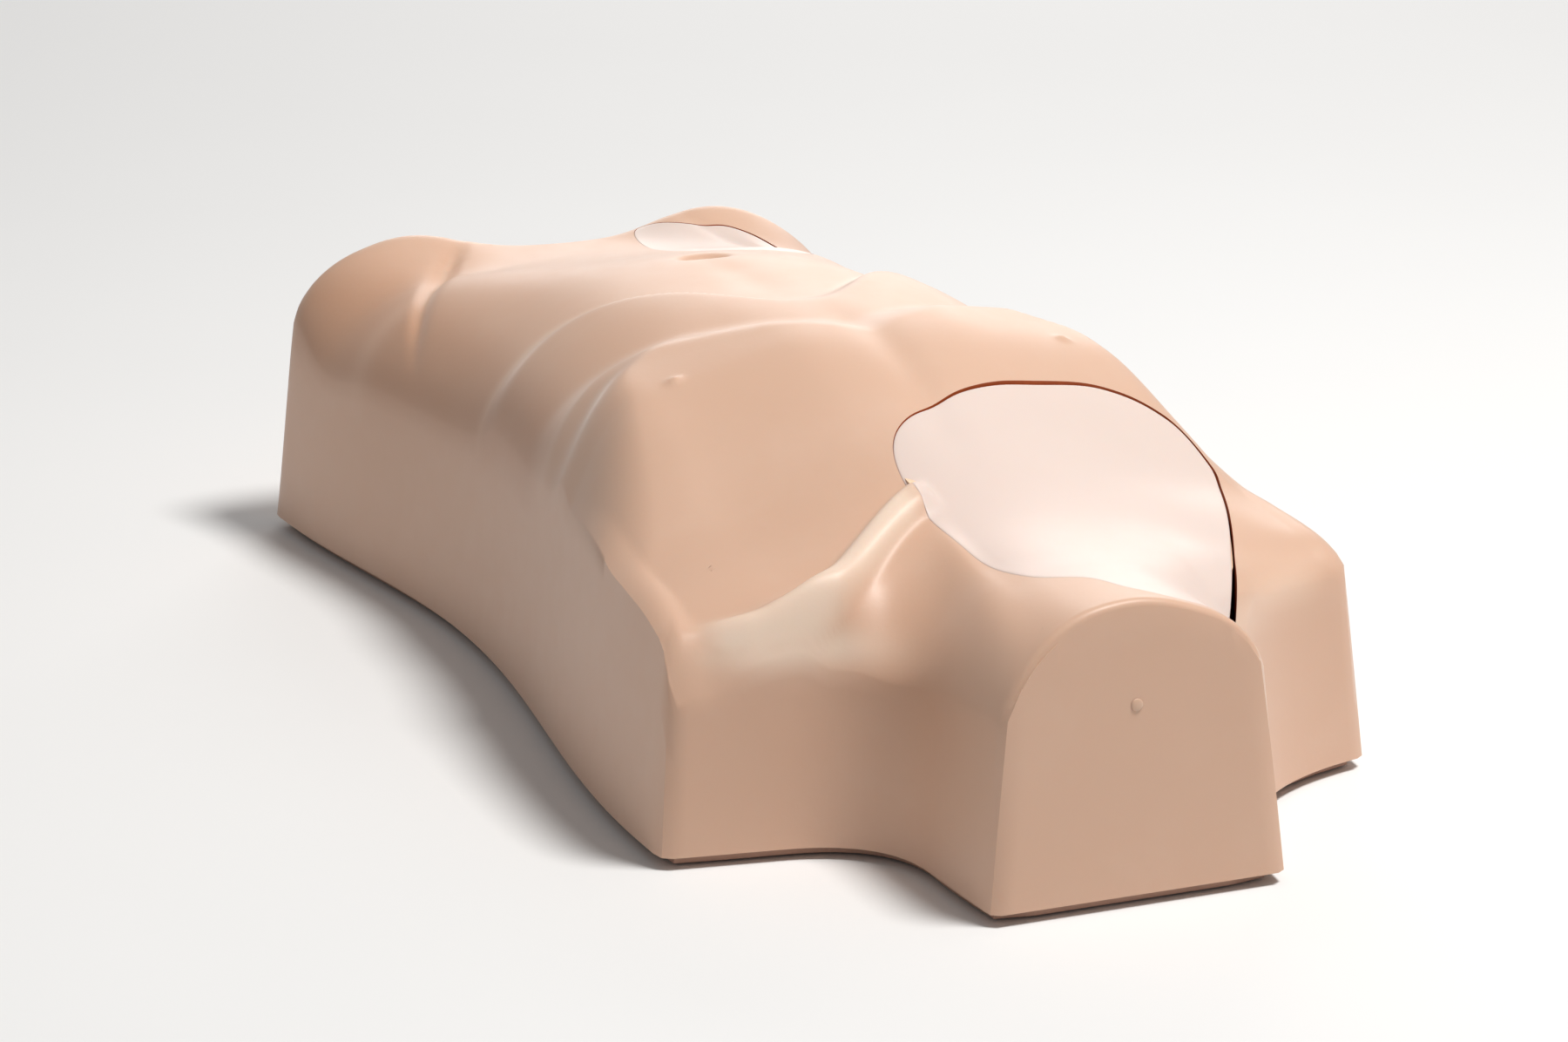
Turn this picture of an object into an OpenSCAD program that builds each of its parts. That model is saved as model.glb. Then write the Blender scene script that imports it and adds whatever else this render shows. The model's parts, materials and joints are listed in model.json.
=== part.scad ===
// Training torso for drip and central-line practice: a one-piece flesh-coloured
// shell on a flat base plate, with a soft insert at the right neck and upper
// chest and another at the right groin.
// Frame: +X is the torso's left side, +Y its head end, +Z up; the origin is the
// middle of the footprint, on the surface that the torso stands on.

/* [Torso] */
// Feet end to the end of the neck
total_l = 740; // [700:5:800]
// Feet end to the shoulder wall
body_l = 612; // [600:2:625]
// Width at the hips
hip_w = 356; // [330:2:370]
// Width at the waist
waist_w = 313; // [290:2:330]
// Width at the shoulders
shoulder_w = 382; // [370:2:400]
// Width of the neck where it leaves the shoulders
neck_root_w = 160; // [150:1:170]
// Width of the neck at its end
neck_end_w = 151; // [140:1:155]
// Lean of the side walls, in degrees
draft = 5.6; // [4:0.2:6.4]
// Thickness of the moulded shell
wall_t = 3.5; // [2.5:0.5:4.5]

/* [Relief] */
// Height between the thighs
groin_h = 154; // [145:1:165]
// Height at the navel
belly_h = 190; // [184:1:196]
// Height of the breastbone
chest_h = 199; // [192:1:206]
// Height of the notch above the breastbone
notch_h = 153; // [148:1:160]
// Height of the front of the neck
neck_h = 146; // [140:1:152]
// Height of the top of the shoulders
shoulder_h = 113; // [108:1:117]
// Rise of the thighs at the feet end
thigh_rise = 21; // [12:1:28]
// Rise of the chest muscles over the ribs
pec_rise = 11; // [4:1:14]
// Rise of the ribs over the belly
rib_rise = 8; // [3:1:12]
// Rise of the collar bones
clavicle_rise = 8; // [3:1:10]
// Depth of the hollow above the collar bone
hollow_depth = 6; // [2:1:12]

/* [Base] */
// Thickness of the base plate
plate_t = 13; // [10:1:16]
// How far the plate's edge stands in from the rim of the shell
plate_inset = 5.2; // [4.6:0.1:6]
// Height of the shell's rim above the ground
rim_h = 6; // [5:0.5:8]
// Thickness of the rubber feet
foot_t = 1.5; // [1:0.5:3]
// Diameter of the rubber feet
foot_d = 28; // [20:1:34]
// Thread diameter of the base screws
screw_d = 5; // [4:0.5:6]
// Length of the base screws
screw_l = 26; // [22:1:32]
// Diameter of the bosses inside the rim
boss_d = 14; // [13:0.5:18]
// Height of the bosses above the plate
boss_h = 26; // [22:1:34]

/* [Inserts] */
// Thickness of the insert skins
skin_t = 3; // [2:0.5:4]
// Gap round an insert
insert_gap = 1; // [0.6:0.1:1.6]
// Gap between stacked soft pieces
rest_gap = 0.3; // [0.2:0.1:0.6]
// Height of the neck pocket's floor
neck_floor_z = 86; // [78:1:90]
// Height of the groin pocket's floor
groin_floor_z = 96; // [86:1:104]
// Height of the collar bone core's middle
clavicle_z = 125; // [120:1:128]
// Depth of the collar bone core
clavicle_d = 11; // [8:0.5:13]

/* [Vessels] */
// Outside diameter of the veins
vein_d = 11; // [9:0.5:12]
// Outside diameter of the arteries
artery_d = 8; // [7:0.5:9]
// Wall of the vessels
vessel_wall = 1.2; // [1:0.1:1.5]
// Radius of the bends at a vessel's ends
bend_r = 12; // [10:1:14]
// Clearance round a vessel in its channel
channel_gap = 0.4; // [0.3:0.1:0.6]
// Thread diameter of the bulkhead spigots
thread_d = 10; // [9:0.5:12]
// Flange diameter of the bulkhead spigots
flange_d = 17; // [16:0.5:20]
// Bore through the spigots
bore_d = 3; // [2:0.5:3.5]

/* [Hidden] */

slope = tan(draft);
plate_z = foot_t;
plate_top = plate_z + plate_t;

// Landmarks, measured from the feet end
waist_at = 245;
navel_at = 214;
sternum_at = 380;
notch_at = 562;
shoulder_at = 590;

// Height along the middle: distance from the feet end, height
middle_line = [[0, groin_h], [50, groin_h + 2], [110, 166], [navel_at, belly_h], [300, belly_h + 3],
    [sternum_at, chest_h], [430, chest_h - 2], [480, 187], [520, 171], [notch_at, notch_h],
    [600, notch_h - 9], [650, neck_h - 4], [total_l, neck_h]];
// Height at crown_x from the middle
side_line = [[0, groin_h - 4], [60, groin_h - 5], [120, 164], [navel_at, 171], [300, 177],
    [sternum_at, 172], [430, 170], [478, 155], [519, 137], [567, shoulder_h + 13],
    [604, shoulder_h + 2], [640, 104], [total_l, 100]];
crown_x = 125;
// Rounding of the side wall's top: distance from the feet end, run, drop
side_round = [[0, 26, 31], [30, 44, 44], [70, 74, 65], [130, 96, 78], [waist_at, 100, 81], [370, 92, 82],
    [430, 52, 42], [476, 38, 23], [505, 26, 12], [535, 14, 6], [total_l, 10, 6]];
// Extra run and drop at the right hip
right_hip_round = 30;
head_round = [11, 10];
neck_round = [50, 45];
neck_tip_round = [32, 28];
feet_round = [14, 12];
end_round = [5, 5];
round_power = 2.3;
corner_blend = 7;
end_blend = 8;
neck_blend = 52;
neck_blend_right = 120;
wall_sweep = 0.16;
neck_lean = 4;
hip_lean = 3;

// Thighs, chest, ribs and collar bones: middle, spread and reach of each form
thigh_x = 99;
thigh_spread = 47;
right_thigh_in = 12;
thigh_reach = 68;
pec_at = 396;
pec_fall = 0.45;
rib_at = 231;
rib_arch = 80;
step_w = 38;
chest_end = 430;

function ease(t) = let (s = min(1, max(0, t))) s * s * (3 - 2 * s);
function sweep_ease(t) = (1 - cos(180 * min(1, max(0, t)))) / 2;
function bell(u) = exp(-u * u);
function soft_min(a, b, k) = let (h = max(k - abs(a - b), 0) / k) min(a, b) - h * h * k / 4;
function soft_max(a, b, k) = -soft_min(-a, -b, k);

// Value in column c of a table of stations, on a smooth curve through them
function tangent(st, i, c) = let (a = max(0, i - 1), b = min(len(st) - 1, i + 1))
    (st[b][c] - st[a][c]) / (st[b][0] - st[a][0]);
function along(v, st, c = 1) = let (
        i = max(0, min(len(st) - 2, len([for (s = st) if (s[0] <= v) 1]) - 1)),
        h = st[i + 1][0] - st[i][0],
        t = min(1, max(0, (v - st[i][0]) / h)))
    (1 + 2 * t) * pow(1 - t, 2) * st[i][c] + t * pow(1 - t, 2) * h * tangent(st, i, c)
    + t * t * (3 - 2 * t) * st[i + 1][c] + t * t * (t - 1) * h * tangent(st, i + 1, c);

// Plan of the footprint at the ground: distance inwards from each wall
function half_w(v) = v < waist_at
    ? hip_w / 2 + (waist_w - hip_w) / 2 * sweep_ease(v / waist_at)
    : waist_w / 2 + (shoulder_w - waist_w) / 2 * sweep_ease((v - waist_at) / (shoulder_at - waist_at));
function from_side(x, v) = half_w(v) - abs(x);
function from_head(x, v) = soft_max(
    body_l + wall_sweep * (shoulder_w / 2 - abs(x)) - v,
    neck_root_w / 2 + (neck_end_w - neck_root_w) / 2 * min(1, max(0, (v - body_l - 68) / 60)) - abs(x),
    neck_blend + (neck_blend_right - neck_blend) * ease((10 - x) / 40));
function from_wall(x, v) = soft_min(
    soft_min(soft_min(from_side(x, v), from_head(x, v), corner_blend), v, end_blend),
    total_l - v, end_round[0]);

// Anatomy on top of the two height curves
function crown(x, v) = let (m = along(v, middle_line), u = min(1.3, abs(x) / crown_x))
    m + (along(v, side_line) - m) * (u * u + ease(u)) / 2;
function thighs(x, v) = thigh_rise * bell((abs(x) - thigh_x + right_thigh_in * ease(-x / 60)) / thigh_spread)
    * (1 - ease((v - 5) / thigh_reach));
function pecs(x, v) = pec_rise * ease((v - pec_at + pec_fall * abs(x)) / step_w)
    * (1 - ease((v - chest_end) / 110)) * (1 - ease((abs(x) - crown_x + 5) / 60));
function ribs(x, v) = rib_rise * ease((v - rib_at - rib_arch * bell(x / 40)) / step_w)
    * (1 - ease((v - chest_end + 130) / 130));
function off_middle(x) = 0.55 + 0.45 * ease(abs(x) / 50);
function grooves(x, v) =
    -2 * bell(x / 11) * ease((v - sternum_at + 30) / 60) * (1 - ease((v - notch_at + 62) / 60))
    - 1.5 * bell(x / 14) * ease((v - navel_at - 11) / 30) * (1 - ease((v - sternum_at + 50) / 30))
    - 7 * bell((v - 52 - 0.42 * (abs(x) - 30)) / 14) * ease((abs(x) - 15) / 25);
function clavicles(x, v) = clavicle_rise
    * bell(pow((v - notch_at + 8 - 58 * ease((abs(x) - 20) / 110)) / 11, 2))
    * ease((abs(x) - 12) / 18) * (1 - ease((abs(x) - 132) / 36));
function neck_forms(x, v) =
    -hollow_depth * bell(norm([(x - 70) / 34, (v - body_l - 14) / 24]))
    + 3 * bell((x - 26 - 0.22 * (v - notch_at)) / 12) * ease((v - notch_at) / 50)
        * (1 - ease((v - total_l + 50) / 50)) * ease((x - 24) / 14)
    + 10 * bell(norm([(x + 84) / 26, (v - 640) / 32]));
function marks(x, v) =
    -9 * bell(pow(norm([x / 12, (v - navel_at) / 8]), 1.5))
    + 2 * bell(norm([abs(x) - 108, v - 430]) / 3.5);
// The collar bone under the right insert doesn't show through it
function left_share(x) = ease((x - 22) / 16);
function relief(x, v) = crown(x, v) + thighs(x, v) + (pecs(x, v) + ribs(x, v)) * off_middle(x) + grooves(x, v)
    + clavicles(x, v) * left_share(x) + neck_forms(x, v) + marks(x, v);

// Height of the moulding over a point of the plan, sunk by a wall thickness i
// The rounding is a superellipse, or a parabola that leaves an edge where flat is 1
function roll(w, flat) = let (s = 1 - min(1, max(0, w)))
    1 - flat - (1 - flat) * pow(1 - pow(s, round_power), 1 / round_power) + flat * s * s;
function drop(top, d, r, flat = 0) = r[1] * roll((d - (top - r[1]) * slope) / r[0], flat);
function side_drop(top, x, v) = let (soft = right_hip_round * ease(-x / 60) * (1 - ease(v / 90)))
    drop(top, from_side(x, v), [along(v, side_round) + soft, along(v, side_round, 2) + soft], ease((v - 375) / 50));
function head_drop(top, x, v) = let (
        n = max(ease((v - body_l - 20) / 28), ease((114 - abs(x)) / 42)),
        neck = neck_round + ease((v - total_l + 90) / 80) * (neck_tip_round - neck_round))
    drop(top, from_head(x, v), head_round + n * (neck - head_round));
function deck(x, v) = let (top = relief(x, v))
    top - side_drop(top, x, v) - head_drop(top, x, v) - drop(top, v, feet_round) - drop(top, total_l - v, end_round);
function top_z(x, v, i = 0) = min(deck(x, v) - i, (from_wall(x, v) - i) / slope);
// Sideways lean of the neck and of the hips
function shift(v, z) = neck_lean * ease((v - total_l + 120) / 100)
    + hip_lean * (1 - ease((v - 10) / 140)) * ease(z / 120);
function place(x, v, z) = [x + shift(v, z), v - total_l / 2, z];

// Rows run from the rim over an anchor point to the midline.
// Each station: anchor x, anchor v, heading (0 sideways, 90 headwards), v on the midline, rows to the next
row_stations = [
    [0, 30, -90, 36, 8], [125, 30, -90, 54, 5], [128, 46, 0, 62, 30], [140, body_l - 72, 0, body_l - 82, 5],
    [140, body_l - 56, 90, body_l - 68, 3], [118, body_l - 50, 80, body_l - 62, 3],
    [92, body_l - 36, 68, body_l - 50, 3], [72, body_l - 14, 54, body_l - 28, 3], [58, body_l + 12, 38, body_l, 3],
    [48, body_l + 40, 20, body_l + 32, 3], [42, body_l + 68, 5, body_l + 64, 3],
    [40, total_l - 28, 0, total_l - 40, 3], [40, total_l - 24, 90, total_l - 34, 5],
    [0, total_l - 18, 90, total_l - 26, 0]];
function rows(step) = concat([for (i = [0 : len(row_stations) - 2])
        let (a = row_stations[i], b = row_stations[i + 1], n = ceil(a[4] / step))
        for (k = [0 : n - 1]) let (t = k / n) a + t * (b - a)], [row_stations[len(row_stations) - 1]]);
function heading(row) = [cos(row[2]), sin(row[2])];
function anchor(row) = [row[0], row[1]];
// Distance out along a row to where the plan has inset i
function reach(row, m, i, lo = 0, hi = 110, n = 14) = n == 0 ? lo : let (
        d = (lo + hi) / 2, p = anchor(row) + d * heading(row))
    from_wall(m * p[0], p[1]) > i ? reach(row, m, i, d, hi, n - 1) : reach(row, m, i, lo, d, n - 1);
function on_row(row, s, d) = let (a = anchor(row), e = [0, row[3]], out = a + s * heading(row))
    d < s ? out - d * heading(row) : a + (e - a) / max(norm(e - a), 0.01) * (d - s);
// Distance in along a row to where the side wall meets the top
function crest(row, m, s, lo, hi, n = 10) = n == 0 ? hi : let (
        d = (lo + hi) / 2, p = on_row(row, s, d))
    from_wall(m * p[0], p[1]) / slope < deck(m * p[0], p[1])
        ? crest(row, m, s, d, hi, n - 1) : crest(row, m, s, lo, d, n - 1);

// Points of one row on side m, from the rim at height z0 in to the last before the midline
wall_cells = 2;
top_cells = 12;
inner_step = 1.35;
inner_cells = 10;
function row_points(row, m, i, z0, walls, tops) = let (
        s = reach(row, m, i + z0 * slope),
        edge = crest(row, m, s, 0, min(s, 34)),
        run = s + norm([0, row[3]] - anchor(row)))
    [for (k = [0 : walls + tops - 1]) let (
            d = k <= walls ? edge * k / walls : edge + (run - edge) * pow((k - walls) / tops, 1.7),
            p = on_row(row, s, d))
        place(m * p[0], p[1], k == 0 ? z0 : top_z(m * p[0], p[1], i))];

// The solid under the moulding's surface, sunk by i, from z0 up
module moulding(i, z0, step, walls, tops, skirt = 0) {
    rr = rows(step);
    n = len(rr);
    all_rows = concat([for (r = rr) [r, 1]], [for (k = [n - 2 : -1 : 1]) [rr[k], -1]]);
    ring = len(all_rows);
    per = walls + tops;
    grid = [for (r = all_rows) each row_points(r[0], r[1], i, z0, walls, tops)];
    spine = [for (r = rr) place(0, r[3], top_z(0, r[3], i))];
    sunk = [for (k = [0 : len(grid) - 1]) k % per == 0 ? grid[k] - [0, 0, skirt] : grid[k]];
    function id(r, k) = k < per ? (r % ring) * per + k
        : ring * per + (r % ring < n ? r % ring : ring - r % ring);
    polyhedron(concat(sunk, spine), concat(
        [for (r = [0 : ring - 1]) for (k = [0 : per - 1]) for (f = k < per - 1 || id(r, per) != id(r + 1, per)
                ? [[id(r, k), id(r, k + 1), id(r + 1, k + 1)], [id(r, k), id(r + 1, k + 1), id(r + 1, k)]]
                : [[id(r, k), id(r, k + 1), id(r + 1, k)]]) f],
        [[for (r = [0 : ring - 1]) id(r, 0)]]));
}

// Closed smooth outline through a few points, n points to a span
function spline(p, n) = let (m = len(p)) [for (i = [0 : m - 1]) for (k = [0 : n - 1]) let (
        t = k / n, a = p[(i + m - 1) % m], b = p[i], c = p[(i + 1) % m], d = p[(i + 2) % m])
    0.5 * (2 * b + t * (c - a) + t * t * (2 * a - 5 * b + 4 * c - d) + t * t * t * (3 * b - a - 3 * c + d))];
function inset(p, g) = let (m = len(p)) [for (i = [0 : m - 1]) let (
        e = p[(i + 1) % m] - p[(i + m - 1) % m]) p[i] + g * [-e[1], e[0]] / norm(e)];

// Outlines of the inserts in plan, counter-clockwise: x, distance from the feet end
neck_edge = [[27, 516], [36, 555], [33, 612], [24, 660], [4, 682], [-5, 704], [-22, 717], [-44, 714],
    [-59, 702], [-73, 680], [-88, 648], [-112, 612], [-130, 575], [-148, 532], [-155, 506], [-145, 483],
    [-108, 470], [-62, 481], [-10, 497]];
groin_edge = [[-38, 24], [-30, 60], [-33, 110], [-58, 143], [-84, 145], [-108, 118], [-114, 84], [-108, 57],
    [-92, 43], [-66, 35]];
neck_middle = [-48, 590];
groin_middle = [-72, 92];
span_points = 2;
// Depth of the pocket walls' tops below the outside of the shell
pocket_sink = 1.1;

function insert_top(x, v, i) = top_z(x - shift(v, 150), v, i);
// A block under the skin line: outline, middle, depth i of its top, flat bottom or skin of thickness t
module patch(edge, middle, i, bottom, t = 0) {
    rings = [1, 0.88, 0.74, 0.58, 0.4, 0.2];
    m = len(edge);
    n = len(rings);
    plan = concat([for (f = rings) for (p = edge) middle + f * (p - middle)], [middle]);
    half = len(plan);
    function low(p) = t > 0 ? insert_top(p[0], p[1], i) - t : bottom;
    polyhedron(
        concat([for (p = plan) [p[0], p[1] - total_l / 2, insert_top(p[0], p[1], i)]],
            [for (p = plan) [p[0], p[1] - total_l / 2, low(p)]]),
        concat([for (r = [0 : n - 2]) for (k = [0 : m - 1]) let (
                    a = r * m + k, b = r * m + (k + 1) % m, c = a + m, d = b + m)
                each [[a, c, b], [b, c, d], [half + a, half + b, half + c], [half + b, half + d, half + c]]],
            [for (k = [0 : m - 1]) let (a = (n - 1) * m + k, b = (n - 1) * m + (k + 1) % m)
                each [[a, half - 1, b], [half + a, half + b, 2 * half - 1]]],
            [for (k = [0 : m - 1]) let (b = (k + 1) % m) each [[k, b, half + b], [k, half + b, half + k]]]));
}

// Vessel runs: from x and v, to x and v, height of the run, outside diameter
jugular_run = [-34, 694, -34, 566, 124, vein_d];
external_run = [-62, 668, -66, 602, 112, artery_d];
subclavian_run = [-128, 522, -56, 540, 110, vein_d];
carotid_run = [-12, 656, -14, 548, 128, artery_d];
neck_runs = [jugular_run, external_run, subclavian_run, carotid_run];
femoral_vein_run = [-60, 64, -60, 124, 134, vein_d];
femoral_artery_run = [-84, 60, -84, 120, 134, artery_d];
groin_runs = [femoral_vein_run, femoral_artery_run];

flange_t = 2.5;
seal_t = 1.5;
nut_t = 5;
nut_w = thread_d + 7;
neck_l = 12;
nozzle_l = 7;
cap_t = 2;
cap_l = 9;
seat_gap = 0.2;
thread_gap = 0.2;

function run_start(r) = [r[0], r[1] - total_l / 2];
function run_end(r) = [r[2], r[3] - total_l / 2];
function run_l(r) = norm(run_end(r) - run_start(r));
function run_angle(r) = atan2(run_end(r)[1] - run_start(r)[1], run_end(r)[0] - run_start(r)[0]);
function leg_z(floor_z) = floor_z + seal_t + flange_t + seat_gap;

// One vessel in the XZ plane: up a leg, round a bend, along, and down again
module vessel_solid(r, floor_z, d) {
    z0 = leg_z(floor_z);
    leg = r[4] - bend_r - z0;
    translate([run_start(r)[0], run_start(r)[1], 0]) rotate([0, 0, run_angle(r)]) {
        for (x = [0, run_l(r)]) translate([x, 0, z0]) cylinder(d = d, h = leg);
        translate([bend_r, 0, r[4]]) rotate([0, 90, 0]) cylinder(d = d, h = run_l(r) - 2 * bend_r);
        translate([bend_r, 0, r[4] - bend_r]) rotate([90, 0, 0]) rotate([0, 0, 90])
            rotate_extrude(angle = 90) translate([bend_r, 0]) circle(d = d);
        translate([run_l(r) - bend_r, 0, r[4] - bend_r]) rotate([90, 0, 0])
            rotate_extrude(angle = 90) translate([bend_r, 0]) circle(d = d);
    }
}
module vessel(r, floor_z) {
    difference() {
        vessel_solid(r, floor_z, r[5], $fn = 32);
        vessel_solid(r, floor_z, r[5] - 2 * vessel_wall, $fn = 32);
    }
}
module at_ends(runs) {
    for (r = runs) for (p = [run_start(r), run_end(r)]) translate([p[0], p[1], 0]) children();
}

// Channel for a vessel: a chain of hulls, wider than the vessel all round
channel_sides = 10;
module channel(r, floor_z) {
    w = r[5] + 2 * channel_gap + 0.8;
    pts = [[0, 0, floor_z - 1], [0, 0, r[4] - bend_r / 2], [bend_r / 2, 0, r[4]],
        [run_l(r) - bend_r / 2, 0, r[4]], [run_l(r), 0, r[4] - bend_r / 2], [run_l(r), 0, floor_z - 1]];
    translate([run_start(r)[0], run_start(r)[1], 0]) rotate([0, 0, run_angle(r)])
        for (k = [0 : len(pts) - 2]) hull() for (p = [pts[k], pts[k + 1]])
            translate(p) sphere(d = w, $fn = channel_sides);
}

// Collar bone core: points of its middle line in plan, and two posts down to the pocket's floor
clavicle_line = [[-26, 551], [-48, 553], [-74, 566], [-96, 584], [-112, 596]];
clavicle_fall = 22;
post_d = 6;
function clavicle_mid(k) = clavicle_z - clavicle_fall * k / (len(clavicle_line) - 1);
function clavicle_ring(k, d) = let (
        n = len(clavicle_line), p = clavicle_line[k],
        e = clavicle_line[min(n - 1, k + 1)] - clavicle_line[max(0, k - 1)],
        side = [-e[1], e[0]] / norm(e), end = k == 0 || k == n - 1 ? 0.75 : 1)
    [for (a = [0 : 30 : 330]) let (s = d / 2 * end * (1.15 * cos(a)))
        [p[0] + side[0] * s, p[1] + side[1] * s - total_l / 2, clavicle_mid(k) + d / 2 * end * sin(a)]];
module clavicle_solid(d) {
    n = len(clavicle_line);
    polyhedron([for (k = [0 : n - 1]) each clavicle_ring(k, d)], concat(
        [for (k = [0 : n - 2]) for (a = [0 : 11]) let (b = (a + 1) % 12)
            each [[k * 12 + a, k * 12 + 12 + b, k * 12 + b], [k * 12 + a, k * 12 + 12 + a, k * 12 + 12 + b]]],
        [for (a = [1 : 10]) [0, a, a + 1]],
        [for (a = [1 : 10]) [n * 12 - 12, n * 12 - 12 + a + 1, n * 12 - 12 + a]]));
}

module clavicle_posts(d) {
    for (k = [1, 3]) translate([clavicle_line[k][0], clavicle_line[k][1] - total_l / 2, neck_floor_z])
        cylinder(d = d, h = clavicle_mid(k) - neck_floor_z, $fn = 24);
}

// Fixings: a screw, a threaded insert and a boss on rays through the rim
fixing_rows = [[104, 60, -90], [100, 180, 0], [100, 380, 0], [125, 540, 90], [30, 690, 0]];
fixing_inset = plate_inset + boss_d / 2 + 4;
function fixing_at(row, m, i) = let (p = anchor(row) + reach(row, m, i) * heading(row))
    [m * p[0] + shift(p[1], 0), p[1] - total_l / 2];
fixings = [for (m = [1, -1]) for (row = fixing_rows) [fixing_at(row, m, fixing_inset), plate_top, m, row]];
head_d = 2 * screw_d;
head_t = screw_d / 2;
insert_d = screw_d + 2;
insert_l = 10;
foot_rows = [[110, 60, -90], [90, 190, 0], [90, 400, 0], [30, 640, 0]];
foot_spots = [for (m = [1, -1]) for (row = foot_rows) fixing_at(row, m, fixing_inset + boss_d)];

module at_fixings() {
    for (f = fixings) translate([f[0][0], f[0][1], 0]) children();
}
// A boss with a gusset that follows the lean of the wall
gusset_t = 3;
gusset_h = boss_h - 4;
function gusset_foot(f, z) = concat(fixing_at(f[3], f[2], wall_t * 0.6 + z * slope), [z]);
module boss(f) {
    translate([f[0][0], f[0][1], plate_top]) cylinder(d = boss_d, h = boss_h, $fn = 16);
    hull() {
        translate([f[0][0], f[0][1], plate_top]) cylinder(d = gusset_t, h = gusset_h, $fn = 4);
        for (z = [plate_top, plate_top + gusset_h - 1])
            translate(gusset_foot(f, z)) cylinder(d = gusset_t / 2, h = 1, $fn = 4);
    }
}

module torso_shell() color([0.86, 0.70, 0.58]) {
    neck_ring = spline(neck_edge, span_points);
    groin_ring = spline(groin_edge, span_points);
    difference() {
        union() {
            difference() {
                moulding(0, rim_h, 1, wall_cells, top_cells);
                moulding(wall_t, rim_h, inner_step, 1, inner_cells, skirt = 1);
            }
            patch(inset(neck_ring, -wall_t), neck_middle, pocket_sink, neck_floor_z - wall_t);
            patch(inset(groin_ring, -wall_t), groin_middle, pocket_sink, groin_floor_z - wall_t);
            for (f = fixings) boss(f);
        }
        patch_cut(neck_ring, neck_floor_z);
        patch_cut(groin_ring, groin_floor_z);
        for (p = [neck_floor_z, groin_floor_z]) at_ends(p == neck_floor_z ? neck_runs : groin_runs)
            translate([0, 0, p - wall_t - 1]) cylinder(d = thread_d + 3 * thread_gap, h = wall_t + 2, $fn = 16);
        at_fixings() translate([0, 0, plate_top - 1]) cylinder(d = insert_d + thread_gap, h = boss_h - 4, $fn = 16);
        vent_hole();
    }
}
module patch_cut(ring, floor_z) {
    translate([0, -total_l / 2, floor_z]) linear_extrude(chest_h) polygon(ring);
}
// Vent plug in the end of the neck
vent_z = 96;
vent_d = 3.6;
vent_head = 6;
vent_x = 3;
function end_y(z) = total_l / 2 - z * slope;
module vent_hole() {
    translate([vent_x, end_y(vent_z) - 12, vent_z]) rotate([-90, 0, 0]) cylinder(d = vent_d + thread_gap, h = 24, $fn = 16);
}

module base_plate() color([0.58, 0.44, 0.37]) difference() {
    translate([0, -total_l / 2, plate_z]) linear_extrude(plate_t) polygon(plate_outline());
    at_fixings() {
        translate([0, 0, plate_z - 1]) cylinder(d = screw_d + 0.6, h = plate_t + 2, $fn = 32);
        translate([0, 0, plate_z - 0.01]) cylinder(d1 = head_d + 0.6, d2 = screw_d + 0.6, h = head_t + 0.3, $fn = 32);
    }
}
function plate_outline() = let (rr = rows(1), n = len(rr), i = plate_inset + rim_h * slope)
    [for (k = [0 : 2 * n - 3]) let (
            m = k < n ? 1 : -1, row = rr[k < n ? k : 2 * n - 2 - k],
            p = anchor(row) + reach(row, m, i) * heading(row)) [m * p[0] + shift(p[1], 0), p[1]]];

module threaded_inserts() color([0.80, 0.65, 0.35]) at_fixings() translate([0, 0, plate_top])
    difference() {
        cylinder(d = insert_d, h = insert_l, $fn = 32);
        translate([0, 0, -1]) cylinder(d = screw_d + thread_gap, h = insert_l + 2, $fn = 32);
    }
module base_screws() color([0.70, 0.70, 0.72]) at_fixings() translate([0, 0, plate_z + 0.1])
    difference() {
        union() {
            cylinder(d1 = head_d, d2 = screw_d, h = head_t, $fn = 32);
            cylinder(d = screw_d, h = screw_l - 4, $fn = 32);
        }
        translate([0, 0, -0.01]) cylinder(d = screw_d * 0.6, h = head_t * 0.8, $fn = 6);
    }
module rubber_feet() color([0.12, 0.12, 0.12])
    for (p = foot_spots) translate([p[0], p[1], 0]) cylinder(d = foot_d, h = foot_t, $fn = 48);
module vent_plug() color([0.80, 0.64, 0.53]) translate([vent_x, end_y(vent_z), vent_z])
    rotate([-90 + draft, 0, 0]) {
        translate([0, 0, 0.2]) scale([1, 1, 0.25]) difference() {
            sphere(d = vent_head, $fn = 32);
            translate([-vent_head, -vent_head, -2 * vent_head]) cube(2 * vent_head);
        }
        translate([0, 0, -7]) cylinder(d = vent_d - 0.3, h = 7.5, $fn = 32);
    }

module insert_skin(edge, middle) patch(inset(spline(edge, span_points), insert_gap), middle, 0, 0, skin_t);
module insert_block(edge, middle, floor_z) patch(inset(spline(edge, span_points), insert_gap), middle,
    skin_t + rest_gap, floor_z + rest_gap);
module spigot_pits(runs, floor_z) at_ends(runs) translate([0, 0, floor_z - 1])
    cylinder(d = flange_d + 2, h = 2 + seal_t + flange_t, $fn = 16);

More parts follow.
